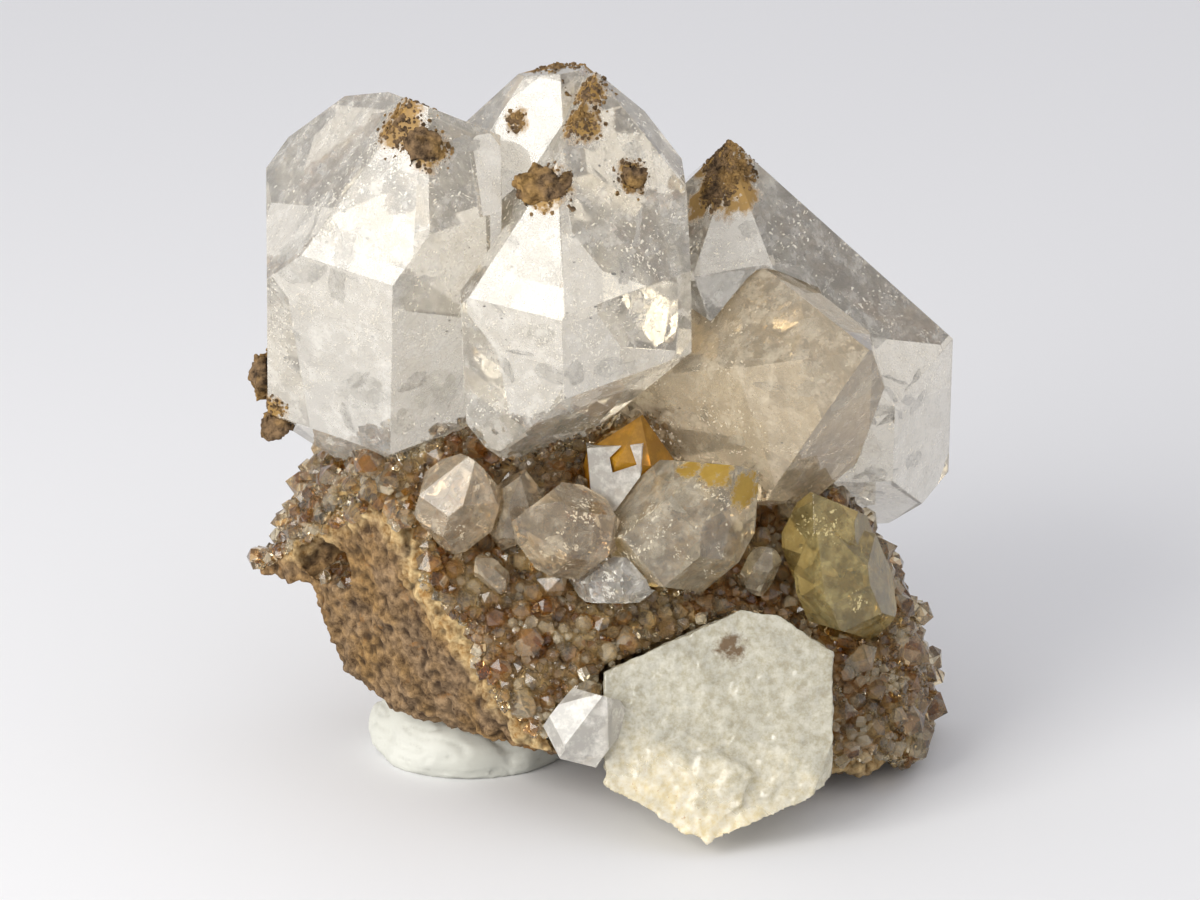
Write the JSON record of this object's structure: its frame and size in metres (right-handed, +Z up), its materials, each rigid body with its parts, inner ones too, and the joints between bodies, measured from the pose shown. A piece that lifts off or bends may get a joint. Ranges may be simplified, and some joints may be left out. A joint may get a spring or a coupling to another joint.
{
  "type": "quartz crystal cluster",
  "caption": "Cluster of clear and honey-coloured double-pointed quartz crystals on a brown druse-coated rock plate, standing on a pinch of display putty.",
  "frame": {"origin": "on the ground, below the middle of the cluster's outline", "axes": "+Z up, -Y towards the viewer, +X to the viewer's right"},
  "size_m": [0.0628, 0.0446, 0.0636],
  "materials": {
    "clear_quartz": "clear, glassy, with fine veils inside",
    "smoky_quartz": "clear with a smoky tan tint",
    "honey_quartz": "clear with a honey yellow stain",
    "milky_quartz": "milky and frosted, cream below",
    "druse_quartz": "sugary druse of tiny glassy points, brown below",
    "dolostone": "rough, grainy brown rock",
    "brown_rock_scrap": "rough brown and ochre rock and clay",
    "putty": "soft, matt, pale greenish white putty"
  },
  "bodies": {
    "root": {"large_crystal_pair": "clear_quartz", "back_crystal": "clear_quartz", "smoky_crystal": "smoky_quartz", "front_milky_crystal": "milky_quartz", "amber_crystal": "honey_quartz", "rear_amber_crystal": "honey_quartz", "bright_block_crystal": "clear_quartz", "right_honey_stack": "honey_quartz", "left_small_crystal": "clear_quartz", "middle_small_crystals": "clear_quartz", "white_edged_crystal": "clear_quartz", "left_sliver_crystal": "clear_quartz", "right_sliver_crystal": "honey_quartz", "scrap_left_upper": "brown_rock_scrap", "scrap_left_lower": "brown_rock_scrap", "scrap_left_top": "brown_rock_scrap", "scrap_right_front": "brown_rock_scrap", "scrap_right_side": "brown_rock_scrap", "matrix": "dolostone", "druse_crust": "druse_quartz", "display_putty": "putty"}
  },
  "joints": []
}
